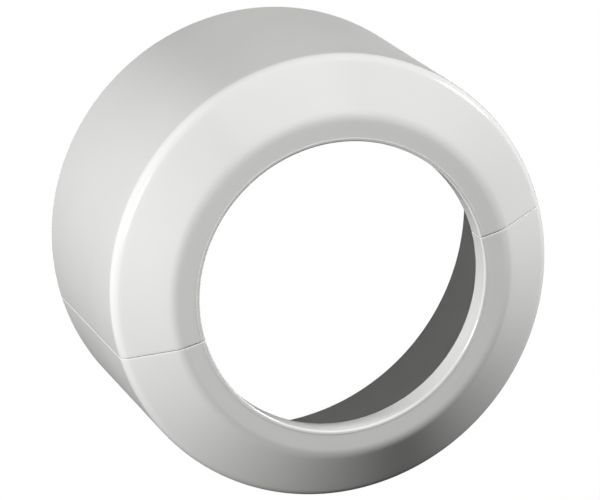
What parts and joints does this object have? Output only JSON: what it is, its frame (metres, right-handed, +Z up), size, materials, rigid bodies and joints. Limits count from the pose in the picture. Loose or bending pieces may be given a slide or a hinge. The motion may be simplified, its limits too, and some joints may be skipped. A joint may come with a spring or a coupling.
{
  "type": "split toilet pipe escutcheon",
  "caption": "White moulded cover ring split into half shells that snap together round a toilet waste pipe: flat face, sloping front, rounded edge and a flaring skirt that meets the wall.",
  "frame": {"origin": "on the pipe's axis, half way along the land that guides the pipe", "axes": "+Y along the pipe from the front face to the wall, +Z up out of the plane in which the halves part"},
  "size_m": [0.1784, 0.1024, 0.1784],
  "materials": {
    "moulded_plastic": "white ABS, moulded with a satin gloss"
  },
  "bodies": {
    "lower_half": {"lower_half": "moulded_plastic"},
    "upper_half": {"upper_half": "moulded_plastic"}
  },
  "joints": [
    {"name": "halves_apart", "type": "slide", "parent": "lower_half", "child": "upper_half", "axis": [0, 0, 1], "range_m": [0, 0.07]}
  ]
}
